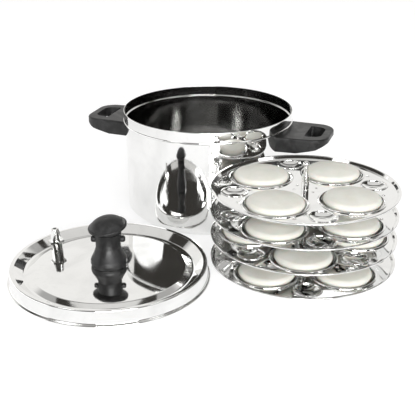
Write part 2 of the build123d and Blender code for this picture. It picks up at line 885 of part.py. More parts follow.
with BuildPart() as rod_nut:
    with BuildSketch(rack_plane(nut_top)):
        RegularPolygon(radius=rod_nut_radius, side_count=6)
        Circle(rod_hole_radius, mode=Mode.SUBTRACT)
    extrude(amount=-rod_nut_height)
save(rod_nut.part, "rod_nut")

# Spacer tubes between the plates
for level, name in enumerate(("lower_spacer", "middle_spacer", "upper_spacer")):
    with BuildPart() as spacer:
        with BuildSketch(rack_plane(plate_floor_height + level * plate_spacing)):
            Circle(spacer_radius)
            Circle(rod_hole_radius, mode=Mode.SUBTRACT)
        extrude(amount=plate_spacing - plate_sheet)
    save(spacer.part, name)

# Turned finial that screws on the rod and holds the stack down
stem_start = top_floor + finial_sleeve_height
ball_centre = stem_start + finial_stem_height + finial_ball_radius * corner_share
with BuildPart() as finial:
    with BuildSketch(rack_plane(top_floor)):
        Circle(spacer_radius)
    extrude(amount=finial_sleeve_height)
    fillet(finial.edges().sort_by(Axis.Z)[-1], radius=finial_edge_radius)
    with BuildSketch(rack_plane(stem_start)):
        Circle(finial_stem_radius)
    extrude(amount=finial_stem_height + finial_ball_radius / 2)
    with Locations((rack_x, rack_y, ball_centre)):
        Sphere(finial_ball_radius)
    with BuildSketch(rack_plane(top_floor)):
        Circle(rod_hole_radius)
    extrude(amount=rod_thread_rise + overrun, mode=Mode.SUBTRACT)
save(finial.part, "finial")
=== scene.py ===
import bmesh
import bpy
import math
from mathutils import Matrix, Vector, noise


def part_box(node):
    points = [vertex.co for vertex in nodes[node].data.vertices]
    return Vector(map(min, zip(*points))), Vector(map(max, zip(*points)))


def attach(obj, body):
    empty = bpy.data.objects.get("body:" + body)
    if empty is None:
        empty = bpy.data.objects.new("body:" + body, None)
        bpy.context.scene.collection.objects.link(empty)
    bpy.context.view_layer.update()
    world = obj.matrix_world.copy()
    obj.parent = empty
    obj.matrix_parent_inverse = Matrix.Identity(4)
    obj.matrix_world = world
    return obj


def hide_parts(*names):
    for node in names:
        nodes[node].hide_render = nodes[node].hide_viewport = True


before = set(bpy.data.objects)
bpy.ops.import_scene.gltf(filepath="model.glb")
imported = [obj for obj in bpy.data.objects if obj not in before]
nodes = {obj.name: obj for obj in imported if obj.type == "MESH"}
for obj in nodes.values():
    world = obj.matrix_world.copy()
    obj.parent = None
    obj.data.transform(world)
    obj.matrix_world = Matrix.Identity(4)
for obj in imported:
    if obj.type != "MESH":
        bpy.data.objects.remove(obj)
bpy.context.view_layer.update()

mm = 0.001

# Camera: the photo's viewing angle, fitted to the rims of the pot, lid and plates
picture_width = 415
focal_pixels = 850.8
sensor_width = 36.0
camera_pitch = math.radians(22.85)
camera_place = (-0.7 * mm, -1045.9 * mm, 438.0 * mm)

# Sizes that the pieces share with the solids
pot_height = 135.0 * mm
body_radius = 105.2 * mm
pot_wall = 0.8 * mm
collar_radius = 107.0 * mm
collar_height = 14.0 * mm
pot_bead_height = 2.2 * mm
pot_bead_stand_out = 0.8 * mm
ledge_drop = 1.0 * mm
pot_ledge_bend = 0.4 * mm
pot_longest_strip = 12.0 * mm
pot_corner_radius = 8.0 * mm
base_disc_radius = 96.5 * mm
base_disc_height = 5.0 * mm
base_disc_bevel = 1.8 * mm
base_disc_foot_bend = 0.8 * mm
base_disc_top_bend = 0.3 * mm

lid_wall = 0.7 * mm
lid_height = 17.6 * mm
lid_flange_radius = 112.0 * mm
lid_flange_height = 2.4 * mm
lid_band_foot_radius = 109.2 * mm
lid_shoulder_radius = 108.5 * mm
lid_channel_width = 4.6 * mm
lid_well_radius = 93.0 * mm
lid_well_height = 9.2 * mm
lid_dome_edge_radius = 84.0 * mm
lid_dome_edge_height = 12.3 * mm
lid_dome_height = 15.6 * mm
lid_bend_radius = 1.3 * mm
lid_well_bend_radius = 4.0 * mm
lid_hole_radius = 2.5 * mm
lid_dome_bend_radius = 6.0 * mm
lid_dome_arc_stop = 3.0 * mm
lid_dome_bend_start = 2.5 * mm

plate_sheet = 0.8 * mm
plate_radius = 103.0 * mm
plate_rim_width = 2.6 * mm
plate_rim_slope = 2.0 * mm
plate_rim_height = 3.2 * mm
plate_rim_roll = 1.3 * mm
plate_rim_bend = 0.5 * mm
plate_floor_height = 14.0 * mm
cup_count = 4
cup_circle = 58.0 * mm
cup_radius = 34.0 * mm
cup_depth = 14.0 * mm
cup_floor_radius = 15.0 * mm
cup_lip_height = 1.3 * mm
cup_lip_width = 2.2 * mm
cup_drain_radius = 1.2 * mm
small_cup_circle = 77.5 * mm
small_cup_radius = 13.6 * mm
small_cup_depth = 4.6 * mm
small_cup_floor_radius = 7.0 * mm
small_cup_lip_height = 0.9 * mm
small_cup_lip_width = 1.6 * mm
steam_hole_circle = 84.0 * mm
steam_hole_radius = 1.7 * mm
steam_hole_spread = 20.5
hub_hole_circle = 12.5 * mm
hub_hole_radius = 1.3 * mm
hub_hole_count = 6
rod_hole_radius = 3.05 * mm
plate_turns = {"bottom": -1.5, "third": 39.3, "second": 7.0, "top": 7.0}

contact_gap = 0.01 * mm

idli_radius = 31.0 * mm
idli_rise = 9.5 * mm
idli_waist_rise = 2.0 * mm
idli_gap = 0.3 * mm
bulge_share = 0.6

# Flat rings and bends that the plates' meshes keep round their cups and holes
flat_margin = 1.0 * mm
lip_foot = 0.25 * mm
lip_inset = 0.1 * mm
lip_inset_rise_share = 0.35
cup_floor_bend = 1.2 * mm
steam_hole_margin = 0.6 * mm
hub_hole_margin = 0.5 * mm
rod_hole_margin = 2.5 * mm

# Idli crown, and how uneven the crowns are
idli_inset = 0.1 * mm
idli_shoulder_share = 0.88
idli_shoulder_rise_share = 0.7
idli_edge_share = 0.965
idli_edge_rise_share = 0.52
idli_sway = 0.7 * mm
idli_sway_reach = 4.0 * mm
idli_sway_scale = 45
idli_segments = 96


def middle_of(*names):
    """Centre of one or more nodes' boxes."""
    corners = [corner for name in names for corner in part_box(name)]
    low = Vector([min(c[i] for c in corners) for i in range(3)])
    high = Vector([max(c[i] for c in corners) for i in range(3)])
    return (low + high) / 2


pot_centre = Vector((0, 0, 0))
lid_centre = middle_of("lid_shell")
lid_centre.z = 0
rack_centre = middle_of("center_rod")
rack_centre.z = 0
plate_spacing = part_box("top_plate")[0].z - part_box("second_plate")[0].z


def arc(start, through, end, count=12):
    """Points on the arc from start to end through a third point, ends included."""
    (ax, ay), (bx, by), (cx, cy) = start, through, end
    cross = 2 * (ax * (by - cy) + bx * (cy - ay) + cx * (ay - by))
    aa, bb, cc = ax * ax + ay * ay, bx * bx + by * by, cx * cx + cy * cy
    ux = (aa * (by - cy) + bb * (cy - ay) + cc * (ay - by)) / cross
    uy = (aa * (cx - bx) + bb * (ax - cx) + cc * (bx - ax)) / cross
    radius = math.hypot(ax - ux, ay - uy)
    first = math.atan2(ay - uy, ax - ux)
    middle = math.atan2(by - uy, bx - ux)
    last = math.atan2(cy - uy, cx - ux)
    turn = (last - first) % (2 * math.pi)
    if (middle - first) % (2 * math.pi) > turn:
        turn -= 2 * math.pi
    steps = [first + turn * i / count for i in range(count + 1)]
    return [(ux + radius * math.cos(a), uy + radius * math.sin(a)) for a in steps]


def rounded(points, radii, count=6):
    """Polyline with each inner corner rounded to its radius."""
    path = [points[0]]
    for before, corner, after, radius in zip(points, points[1:], points[2:], radii):
        a = Vector(before) - Vector(corner)
        b = Vector(after) - Vector(corner)
        half = a.angle(b) / 2
        reach = radius / math.tan(half)
        start = Vector(corner) + a.normalized() * reach
        end = Vector(corner) + b.normalized() * reach
        inward = (a.normalized() + b.normalized()).normalized()
        centre = Vector(corner) + inward * (radius / math.sin(half))
        through = centre - inward * radius
        path += arc(tuple(start), tuple(through), tuple(end), count)
    path.append(points[-1])
    return path


def subdivided(path, longest):
    """Path with straight runs cut so that none is longer than a length."""
    fine = [path[0]]
    for a, b in zip(path, path[1:]):
        steps = max(1, math.ceil(math.dist(a, b) / longest))
        for i in range(1, steps + 1):
            fine.append((a[0] + (b[0] - a[0]) * i / steps, a[1] + (b[1] - a[1]) * i / steps))
    return fine


def sheet_outline(path, wall):
    """Closed outline of a sheet whose outer face follows a path, the wall to its right."""
    inner = []
    for i, point in enumerate(path):
        before = Vector(path[max(i - 1, 0)])
        after = Vector(path[min(i + 1, len(path) - 1)])
        along = (after - before).normalized()
        inner.append((point[0] + along.y * wall, point[1] - along.x * wall))
    return path + inner[::-1]


def new_object(name, bm, sharp_angle):
    """Object made from a bmesh, smooth except across edges sharper than an angle."""
    mesh = bpy.data.meshes.new(name)
    bm.to_mesh(mesh)
    bm.free()
    mesh.polygons.foreach_set("use_smooth", [True] * len(mesh.polygons))
    mesh.set_sharp_from_angle(angle=math.radians(sharp_angle))
    piece = bpy.data.objects.new(name, mesh)
    bpy.context.scene.collection.objects.link(piece)
    return piece


def bridge(bm, inner, outer):
    """Faces between two rings with the same count, facing up where the outer ring lies outside."""
    count = len(inner)
    for i in range(count):
        j = (i + 1) % count
        bm.faces.new((inner[i], outer[i], outer[j], inner[j]))


def ring(bm, centre, radius, height, count):
    """Ring of vertices about a centre."""
    x, y = centre
    turns = [2 * math.pi * i / count for i in range(count)]
    return [bm.verts.new((x + radius * math.cos(a), y + radius * math.sin(a), height)) for a in turns]


def lathe(name, outline, place, count=192, sharp_angle=30.0, closed=True):
    """Surface of revolution of an outline of (radius, height) points, set at a place."""
    bm = bmesh.new()
    rows = []
    for radius, height in outline:
        if radius < 1e-7:
            rows.append([bm.verts.new((0, 0, height))])
        else:
            rows.append(ring(bm, (0, 0), radius, height, count))
    pairs = list(zip(rows, rows[1:]))
    if closed:
        pairs.append((rows[-1], rows[0]))
    for low, high in pairs:
        if len(low) == 1 and len(high) == 1:
            continue
        for i in range(count):
            j = (i + 1) % count
            corners = []
            for vert in (low[i % len(low)], low[j % len(low)], high[j % len(high)], high[i % len(high)]):
                if vert not in corners:
                    corners.append(vert)
            bm.faces.new(corners)
    bmesh.ops.recalc_face_normals(bm, faces=bm.faces)
    bmesh.ops.transform(bm, matrix=place, verts=bm.verts)
    return new_object(name, bm, sharp_angle)


def at(place):
    """Matrix that moves to a place."""
    return Matrix.Translation(place)


def dress(piece, body, slot, material, *replaced):
    """Ride on a body, take a material slot and stand for the nodes it replaces. The slot argument is not used."""
    piece.data.materials.clear()
    piece.data.materials.append(material)
    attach(piece, body)
    if replaced:
        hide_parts(*replaced)


# Shader helpers and the node groups that the materials share
def socket_group(name, inputs, outputs):
    """Node group with named sockets. Inputs and outputs are (name, kind, default) rows."""
    group = bpy.data.node_groups.new(name, "ShaderNodeTree")
    for label, kind, default in inputs:
        socket = group.interface.new_socket(name=label, in_out="INPUT", socket_type=kind)
        if default is not None:
            socket.default_value = default
    for label, kind in outputs:
        group.interface.new_socket(name=label, in_out="OUTPUT", socket_type=kind)
    entry = group.nodes.new("NodeGroupInput")
    leave = group.nodes.new("NodeGroupOutput")
    return group, entry, leave


def math_node(tree, operation, a, b=None, clamp=False):
    """Math node fed by sockets or numbers; gives its output socket."""
    node = tree.nodes.new("ShaderNodeMath")
    node.operation = operation
    node.use_clamp = clamp
    for index, value in enumerate((a, b)):
        if value is None:
            continue
        if isinstance(value, (int, float)):
            node.inputs[index].default_value = value
        else:
            tree.links.new(value, node.inputs[index])
    return node.outputs[0]


def ranged(tree, value, low, high, to_low, to_high):
    """Value mapped smoothly from one range to another, clamped."""
    node = tree.nodes.new("ShaderNodeMapRange")
    node.interpolation_type = "SMOOTHSTEP"
    for label, number in (("From Min", low), ("From Max", high), ("To Min", to_low), ("To Max", to_high)):
        if isinstance(number, (int, float)):
            node.inputs[label].default_value = number
        else:
            tree.links.new(number, node.inputs[label])
    tree.links.new(value, node.inputs["Value"])
    return node.outputs["Result"]


def noise_node(tree, vector, scale, detail=3.0, roughness=0.5, distortion=0.0):
    """Noise texture on a vector; gives its value."""
    node = tree.nodes.new("ShaderNodeTexNoise")
    node.inputs["Detail"].default_value = detail
    node.inputs["Roughness"].default_value = roughness
    node.inputs["Distortion"].default_value = distortion
    tree.links.new(vector, node.inputs["Vector"])
    if isinstance(scale, (int, float)):
        node.inputs["Scale"].default_value = scale
    else:
        tree.links.new(scale, node.inputs["Scale"])
    return node.outputs["Fac"]


def colour_mix(tree, factor, a, b):
    """Colour between two colours; gives its output socket."""
    node = tree.nodes.new("ShaderNodeMix")
    node.data_type = "RGBA"
    tree.links.new(factor, node.inputs["Factor"])
    for label, value in (("A", a), ("B", b)):
        socket = next(s for s in node.inputs if s.name == label and s.type == "RGBA")
        if isinstance(value, tuple):
            socket.default_value = value
        else:
            tree.links.new(value, socket)
    return next(s for s in node.outputs if s.type == "RGBA")


def bump_node(tree, height, strength, distance):
    """Bump node on a height; gives its normal."""
    node = tree.nodes.new("ShaderNodeBump")
    node.inputs["Distance"].default_value = distance
    if isinstance(strength, (int, float)):
        node.inputs["Strength"].default_value = strength
    else:
        tree.links.new(strength, node.inputs["Strength"])
    tree.links.new(height, node.inputs["Height"])
    return node.outputs["Normal"]


def make_polish_group():
    """Polished sheet steel: spun lines about an axis, faint smears, hairline marks."""
    inputs = (
        ("Vector", "NodeSocketVector", None),
        ("Axis", "NodeSocketVector", None),
        ("Line Scale", "NodeSocketFloat", 900.0),
        ("Smear Scale", "NodeSocketFloat", 18.0),
        ("Low Roughness", "NodeSocketFloat", 0.05),
        ("High Roughness", "NodeSocketFloat", 0.12),
        ("Clean Colour", "NodeSocketColor", (0.8, 0.8, 0.79, 1)),
        ("Dull Colour", "NodeSocketColor", (0.7, 0.7, 0.69, 1)),
        ("Line Strength", "NodeSocketFloat", 0.1),
    )
    outputs = (
        ("Colour", "NodeSocketColor"),
        ("Roughness", "NodeSocketFloat"),
        ("Normal", "NodeSocketVector"),
    )
    group, entry, leave = socket_group("spun_polish", inputs, outputs)
    offset = group.nodes.new("ShaderNodeVectorMath")
    offset.operation = "SUBTRACT"
    group.links.new(entry.outputs["Vector"], offset.inputs[0])
    group.links.new(entry.outputs["Axis"], offset.inputs[1])
    split = group.nodes.new("ShaderNodeSeparateXYZ")
    group.links.new(offset.outputs[0], split.inputs[0])
    square_x = math_node(group, "MULTIPLY", split.outputs["X"], split.outputs["X"])
    square_y = math_node(group, "MULTIPLY", split.outputs["Y"], split.outputs["Y"])
    radius = math_node(group, "SQRT", math_node(group, "ADD", square_x, square_y))
    turning = group.nodes.new("ShaderNodeCombineXYZ")
    group.links.new(radius, turning.inputs["X"])
    group.links.new(split.outputs["Z"], turning.inputs["Y"])
    lines = noise_node(group, turning.outputs[0], entry.outputs["Line Scale"], detail=2.0)
    smear_scale = entry.outputs["Smear Scale"]
    smears = noise_node(group, entry.outputs["Vector"], smear_scale, detail=4.0, distortion=0.6)
    fine = noise_node(group, entry.outputs["Vector"], 160.0, detail=3.0, roughness=0.65)
    smear_mask = ranged(group, smears, 0.42, 0.72, 0.0, 1.0)
    speck_mask = ranged(group, fine, 0.5, 0.8, 0.0, 0.45)
    dull = math_node(group, "MAXIMUM", smear_mask, speck_mask)
    rough = ranged(group, dull, 0.0, 1.0, entry.outputs["Low Roughness"], entry.outputs["High Roughness"])
    line_rough = ranged(group, lines, 0.35, 0.75, 0.0, 0.02)
    group.links.new(math_node(group, "ADD", rough, line_rough), leave.inputs["Roughness"])
    tint = colour_mix(group, dull, entry.outputs["Clean Colour"], entry.outputs["Dull Colour"])
    group.links.new(tint, leave.inputs["Colour"])
    height = math_node(group, "ADD", lines, math_node(group, "MULTIPLY", smears, 0.6))
    group.links.new(bump_node(group, height, entry.outputs["Line Strength"], 0.00004), leave.inputs["Normal"])
    return group


def make_moulded_group():
    """Moulded phenolic: fine grain, faint flow marks and a little dust."""
    inputs = (
        ("Vector", "NodeSocketVector", None),
        ("Grain Scale", "NodeSocketFloat", 900.0),
        ("Base Colour", "NodeSocketColor", (0.012, 0.012, 0.012, 1)),
        ("Dust Colour", "NodeSocketColor", (0.06, 0.06, 0.06, 1)),
        ("Low Roughness", "NodeSocketFloat", 0.34),
        ("High Roughness", "NodeSocketFloat", 0.5),
        ("Grain Strength", "NodeSocketFloat", 0.25),
    )
    outputs = (
        ("Colour", "NodeSocketColor"),
        ("Roughness", "NodeSocketFloat"),
        ("Normal", "NodeSocketVector"),
    )
    group, entry, leave = socket_group("moulded_grain", inputs, outputs)
    grain = noise_node(group, entry.outputs["Vector"], entry.outputs["Grain Scale"], detail=3.0)
    flow = noise_node(group, entry.outputs["Vector"], 55.0, detail=3.0, distortion=1.2)
    dust = noise_node(group, entry.outputs["Vector"], 420.0, detail=4.0, roughness=0.7)
    dust_mask = ranged(group, dust, 0.56, 0.8, 0.0, 0.35)
    flow_mask = ranged(group, flow, 0.4, 0.7, 0.0, 0.3)
    mask = math_node(group, "ADD", dust_mask, flow_mask, clamp=True)
    group.links.new(
        colour_mix(group, mask, entry.outputs["Base Colour"], entry.outputs["Dust Colour"]),
        leave.inputs["Colour"],
    )
    rough = ranged(group, flow, 0.3, 0.7, entry.outputs["Low Roughness"], entry.outputs["High Roughness"])
    group.links.new(rough, leave.inputs["Roughness"])
    group.links.new(bump_node(group, grain, entry.outputs["Grain Strength"], 0.00012), leave.inputs["Normal"])
    return group


def make_crumb_group():
    """Steamed batter: soft mottling, fine pores and shallow dimples."""
    inputs = (
        ("Vector", "NodeSocketVector", None),
        ("Pore Scale", "NodeSocketFloat", 1100.0),
        ("Base Colour", "NodeSocketColor", (0.72, 0.71, 0.65, 1)),
        ("Shade Colour", "NodeSocketColor", (0.62, 0.62, 0.55, 1)),
        ("Pore Strength", "NodeSocketFloat", 0.3),
    )
    outputs = (
        ("Colour", "NodeSocketColor"),
        ("Roughness", "NodeSocketFloat"),
        ("Normal", "NodeSocketVector"),
    )
    group, entry, leave = socket_group("steamed_crumb", inputs, outputs)
    mottle = noise_node(group, entry.outputs["Vector"], 60.0, detail=4.0)
    pores = group.nodes.new("ShaderNodeTexVoronoi")
    group.links.new(entry.outputs["Vector"], pores.inputs["Vector"])
    group.links.new(entry.outputs["Pore Scale"], pores.inputs["Scale"])
    fine = noise_node(group, entry.outputs["Vector"], 700.0, detail=4.0, roughness=0.6)
    pore_mask = ranged(group, pores.outputs["Distance"], 0.0, 0.35, 0.0, 1.0)
    mottle_mask = ranged(group, mottle, 0.35, 0.7, 0.0, 0.7)
    shade = math_node(group, "MULTIPLY", mottle_mask, ranged(group, fine, 0.2, 0.7, 0.6, 1.0))
    group.links.new(
        colour_mix(group, shade, entry.outputs["Base Colour"], entry.outputs["Shade Colour"]),
        leave.inputs["Colour"],
    )
    group.links.new(ranged(group, fine, 0.3, 0.7, 0.42, 0.6), leave.inputs["Roughness"])
    height = math_node(group, "ADD", math_node(group, "MULTIPLY", pore_mask, 0.5), fine)
    group.links.new(bump_node(group, height, entry.outputs["Pore Strength"], 0.0002), leave.inputs["Normal"])
    return group


polish_group = make_polish_group()
moulded_group = make_moulded_group()
crumb_group = make_crumb_group()


def new_material(name, group, settings, constants):
    """Principled material fed by a node group: colour, roughness and normal."""
    material = bpy.data.materials.new(name)
    material.use_nodes = True
    tree = material.node_tree
    shader = tree.nodes["Principled BSDF"]
    place = tree.nodes.new("ShaderNodeTexCoord")
    effect = tree.nodes.new("ShaderNodeGroup")
    effect.node_tree = group
    tree.links.new(place.outputs["Object"], effect.inputs["Vector"])
    for label, value in settings.items():
        effect.inputs[label].default_value = value
    tree.links.new(effect.outputs["Colour"], shader.inputs["Base Color"])
    tree.links.new(effect.outputs["Roughness"], shader.inputs["Roughness"])
    tree.links.new(effect.outputs["Normal"], shader.inputs["Normal"])
    for label, value in constants.items():
        shader.inputs[label].default_value = value
    return material


def polished_steel(name, axis, low=0.045, high=0.10, lines=0.08, shade=0.85):
    """Mirror polished stainless sheet, spun about an axis."""
    settings = {
        "Axis": axis,
        "Low Roughness": low,
        "High Roughness": high,
        "Line Strength": lines,
        "Clean Colour": (shade, shade, 0.99 * shade, 1),
        "Dull Colour": (0.9 * shade, 0.9 * shade, 0.89 * shade, 1),
    }
    return new_material(name, polish_group, settings, {"Metallic": 1.0})


steel_pot = polished_steel("polished_steel_pot", pot_centre)
# The pot's inside is the same steel painted darker (shade 0.6 against 0.85): painted shade in the hollow. Its higher
# roughness and stronger lines are the surface's own.
steel_pot_painted_shade_inside = polished_steel(
    "polished_steel_pot_painted_shade_inside", pot_centre, low=0.07, high=0.14, lines=0.15, shade=0.6
)
steel_lid = polished_steel("polished_steel_lid", lid_centre)
steel_rack = polished_steel("polished_steel_rack", rack_centre)
turned_rack = polished_steel("turned_steel_rack", rack_centre, low=0.1, high=0.18, lines=0.25)
turned_vent = polished_steel("turned_steel_vent", middle_of("vent_pipe"), low=0.1, high=0.18, lines=0.2)
turned_pot = polished_steel("turned_steel_pot", pot_centre, low=0.16, high=0.26, lines=0.25)
phenolic = new_material("black_phenolic", moulded_group, {}, {"IOR": 1.5, "Specular IOR Level": 0.35})
silicone = new_material(
    "silicone",
    moulded_group,
    {"Base Colour": (0.55, 0.55, 0.52, 1), "Dust Colour": (0.62, 0.62, 0.6, 1)},
    {},
)
brass = new_material(
    "machined_brass",
    polish_group,
    {"Clean Colour": (0.72, 0.5, 0.2, 1), "Dull Colour": (0.55, 0.37, 0.15, 1), "Axis": lid_centre,
     "Low Roughness": 0.18, "High Roughness": 0.3},
    {"Metallic": 1.0},
)
idli_crumb = new_material("idli_crumb", crumb_group, {}, {"Subsurface Weight": 0.12, "Subsurface Scale": 0.004})


def pot_outline():
    """Closed outline of the pot shell: outside from the base up, inside down again."""
    corner_centre = base_disc_height + pot_corner_radius
    inset = body_radius - pot_corner_radius
    root = math.sqrt(0.5)
    collar_base = pot_height - collar_height
    bead_top = collar_base + pot_bead_height
    inner_radius = body_radius - pot_wall
    collar_inner = collar_radius - pot_wall
    inner_corner = pot_corner_radius - pot_wall
    rim = pot_wall / 2
    outline = [(0, base_disc_height)]
    outline += arc(
        (inset, base_disc_height),
        (inset + pot_corner_radius * root, corner_centre - pot_corner_radius * root),
        (body_radius, corner_centre),
    )
    outline += arc(
        (body_radius, collar_base),
        (collar_radius + pot_bead_stand_out, collar_base + pot_bead_height / 2),
        (collar_radius, bead_top),
    )
    outline += arc(
        (collar_radius, pot_height - rim),
        (collar_radius - rim, pot_height),
        (collar_inner, pot_height - rim),
    )
    outline += rounded(
        [
            (collar_inner, pot_height - 2 * rim),
            (collar_inner, bead_top),
            (inner_radius, bead_top - ledge_drop),
            (inner_radius, corner_centre + pot_wall),
        ],
        2 * [pot_ledge_bend],
    )
    outline += arc(
        (inner_radius, corner_centre),
        (inset + inner_corner * root, corner_centre - inner_corner * root),
        (inset, base_disc_height + pot_wall),
    )
    outline.append((0, base_disc_height + pot_wall))
    return subdivided(outline, pot_longest_strip)


pot_form = lathe("pot_shell_form", pot_outline(), at(pot_centre), count=256)
dress(pot_form, "pot", "polished_steel", steel_pot, "pot_shell")
# Inward faces and the upward faces of the pot's floor take the darker steel, which paints shade inside the pot.
pot_form.data.materials.append(steel_pot_painted_shade_inside)
for face in pot_form.data.polygons:
    middle = face.center
    inward = face.normal.x * middle.x + face.normal.y * middle.y < 0
    if inward or (face.normal.z > 0.7 and middle.z < pot_height / 2):
        face.material_index = 1

base_outline = [(0, 0)]
base_outline += rounded(
    [
        (base_disc_radius / 2, 0),
        (base_disc_radius - base_disc_bevel, 0),
        (base_disc_radius, base_disc_bevel),
        (base_disc_radius, base_disc_height),
        (base_disc_radius / 2, base_disc_height),
    ],
    [base_disc_foot_bend, base_disc_foot_bend, base_disc_top_bend],
)
base_outline.append((0, base_disc_height))
base_form = lathe("pot_base_disc_form", base_outline, at(pot_centre), count=192)
dress(base_form, "pot", "polished_steel", turned_pot, "pot_base_disc")


def lid_outline():
    """Closed outline of the lid: dome, well, channel over the pot's collar, and flange."""
    rise = lid_dome_height - lid_dome_edge_height
    ball = (lid_dome_edge_radius**2 + rise**2) / (2 * rise)

    def dome(radius):
        return lid_dome_height - ball + math.sqrt(ball**2 - radius**2)

    middle = lid_dome_edge_radius / 2
    path = arc(
        (lid_hole_radius, dome(lid_hole_radius)),
        (middle, dome(middle)),
        (lid_dome_edge_radius - lid_dome_arc_stop, dome(lid_dome_edge_radius - lid_dome_arc_stop)),
        24,
    )
    path += rounded(
        [
            (lid_dome_edge_radius - lid_dome_bend_start, dome(lid_dome_edge_radius - lid_dome_bend_start)),
            (lid_dome_edge_radius, lid_dome_edge_height),
            (lid_well_radius, lid_well_height),
            (lid_shoulder_radius - lid_channel_width, lid_height),
            (lid_shoulder_radius, lid_height),
            (lid_band_foot_radius, lid_flange_height),
            (lid_flange_radius, lid_flange_height),
            (lid_flange_radius, 0),
        ],
        [lid_dome_bend_radius, lid_well_bend_radius] + 4 * [lid_bend_radius],
        8,
    )
    return sheet_outline(path, lid_wall)


lid_form = lathe("lid_shell_form", lid_outline(), at(lid_centre), count=256, sharp_angle=40.0)
dress(lid_form, "lid", "polished_steel", steel_lid, "lid_shell")


def bowl_path(mouth, floor, depth, lip_width, lip_height, count=12):
    """Cup from the flat around it, over its lip and down its wall to the edge of its floor."""
    outside = mouth + lip_width
    path = [(outside + flat_margin, 0), (outside + lip_foot, 0)]
    path += arc(
        (outside, lip_foot / 5),
        (mouth + lip_width / 2, lip_height),
        (mouth + lip_inset, lip_inset_rise_share * lip_height),
        count,
    )
    across = mouth - floor
    path += arc(
        (mouth, -plate_sheet / 2),
        (floor + across * bulge_share, -depth * bulge_share),
        (floor + cup_floor_bend, -depth + lip_foot),
        count + 6,
    )
    path += [(floor, -depth), (floor - flat_margin, -depth)]
    return path


def plate_form(name, floor, turn):
    """Idli plate as one pressed sheet: flat floor, rolled rim, cups with lips, and holes."""
    bm = bmesh.new()
    centre = (rack_centre.x, rack_centre.y)
    edge = plate_radius - plate_rim_width
    rim_path = rounded(
        [
            (edge - plate_rim_slope - 2 * flat_margin, 0),
            (edge - plate_rim_slope, 0),
            (edge, plate_rim_height),
            (plate_radius, plate_rim_height),
            (plate_radius, plate_rim_height - plate_rim_roll),
        ],
        3 * [plate_rim_bend],
        5,
    )
    loops = []

    def turned(path, spot, count):
        rows = [ring(bm, spot, radius, floor + height, count) for radius, height in path]
        for a, b in zip(rows, rows[1:]):
            if path[-1][0] > path[0][0]:
                bridge(bm, a, b)
            else:
                bridge(bm, b, a)
        return rows

    loops.append(turned(rim_path, centre, 256)[0])

    def spots(circle, count, shift):
        for k in range(count):
            a = math.radians(shift + 360 / count * k)
            yield (centre[0] + circle * math.cos(a), centre[1] + circle * math.sin(a))

    big = bowl_path(cup_radius, cup_floor_radius - plate_sheet, cup_depth - plate_sheet, cup_lip_width, cup_lip_height)
    big += [(cup_drain_radius, plate_sheet - cup_depth)]
    small = bowl_path(
        small_cup_radius,
        small_cup_floor_radius - plate_sheet,
        small_cup_depth - plate_sheet,
        small_cup_lip_width,
        small_cup_lip_height,
        8,
    )
    for spot in spots(cup_circle, cup_count, turn + 45):
        loops.append(turned(big, spot, 96)[0])
    for spot in spots(small_cup_circle, cup_count, turn):
        rows = turned(small, spot, 64)
        loops.append(rows[0])
        bm.faces.new(rows[-1])
    for side in (-1, 1):
        for spot in spots(steam_hole_circle, cup_count, turn + side * steam_hole_spread):
            hole = [(steam_hole_radius + steam_hole_margin, 0), (steam_hole_radius, 0)]
            loops.append(turned(hole, spot, 24)[0])
    for spot in spots(hub_hole_circle, hub_hole_count, turn):
        hole = [(hub_hole_radius + hub_hole_margin, 0), (hub_hole_radius, 0)]
        loops.append(turned(hole, spot, 20)[0])
    hole = [(rod_hole_radius + rod_hole_margin, 0), (rod_hole_radius, 0)]
    loops.append(turned(hole, centre, 32)[0])
    edges = []
    for loop in loops:
        for i, vert in enumerate(loop):
            edges.append(bm.edges.get((vert, loop[(i + 1) % len(loop)])))
    bmesh.ops.triangle_fill(bm, edges=edges, use_beauty=True, use_dissolve=False, normal=(0, 0, 1))
    for face in bm.faces:
        face.normal_update()
        if face.normal.z < -0.01 and abs(face.calc_center_median().z - floor) < 1e-6:
            face.normal_flip()
    piece = new_object(name, bm, 50.0)
    thick = piece.modifiers.new("sheet", "SOLIDIFY")
    thick.thickness = plate_sheet - contact_gap
    thick.offset = -1.0
    thick.use_even_offset = True
    return piece


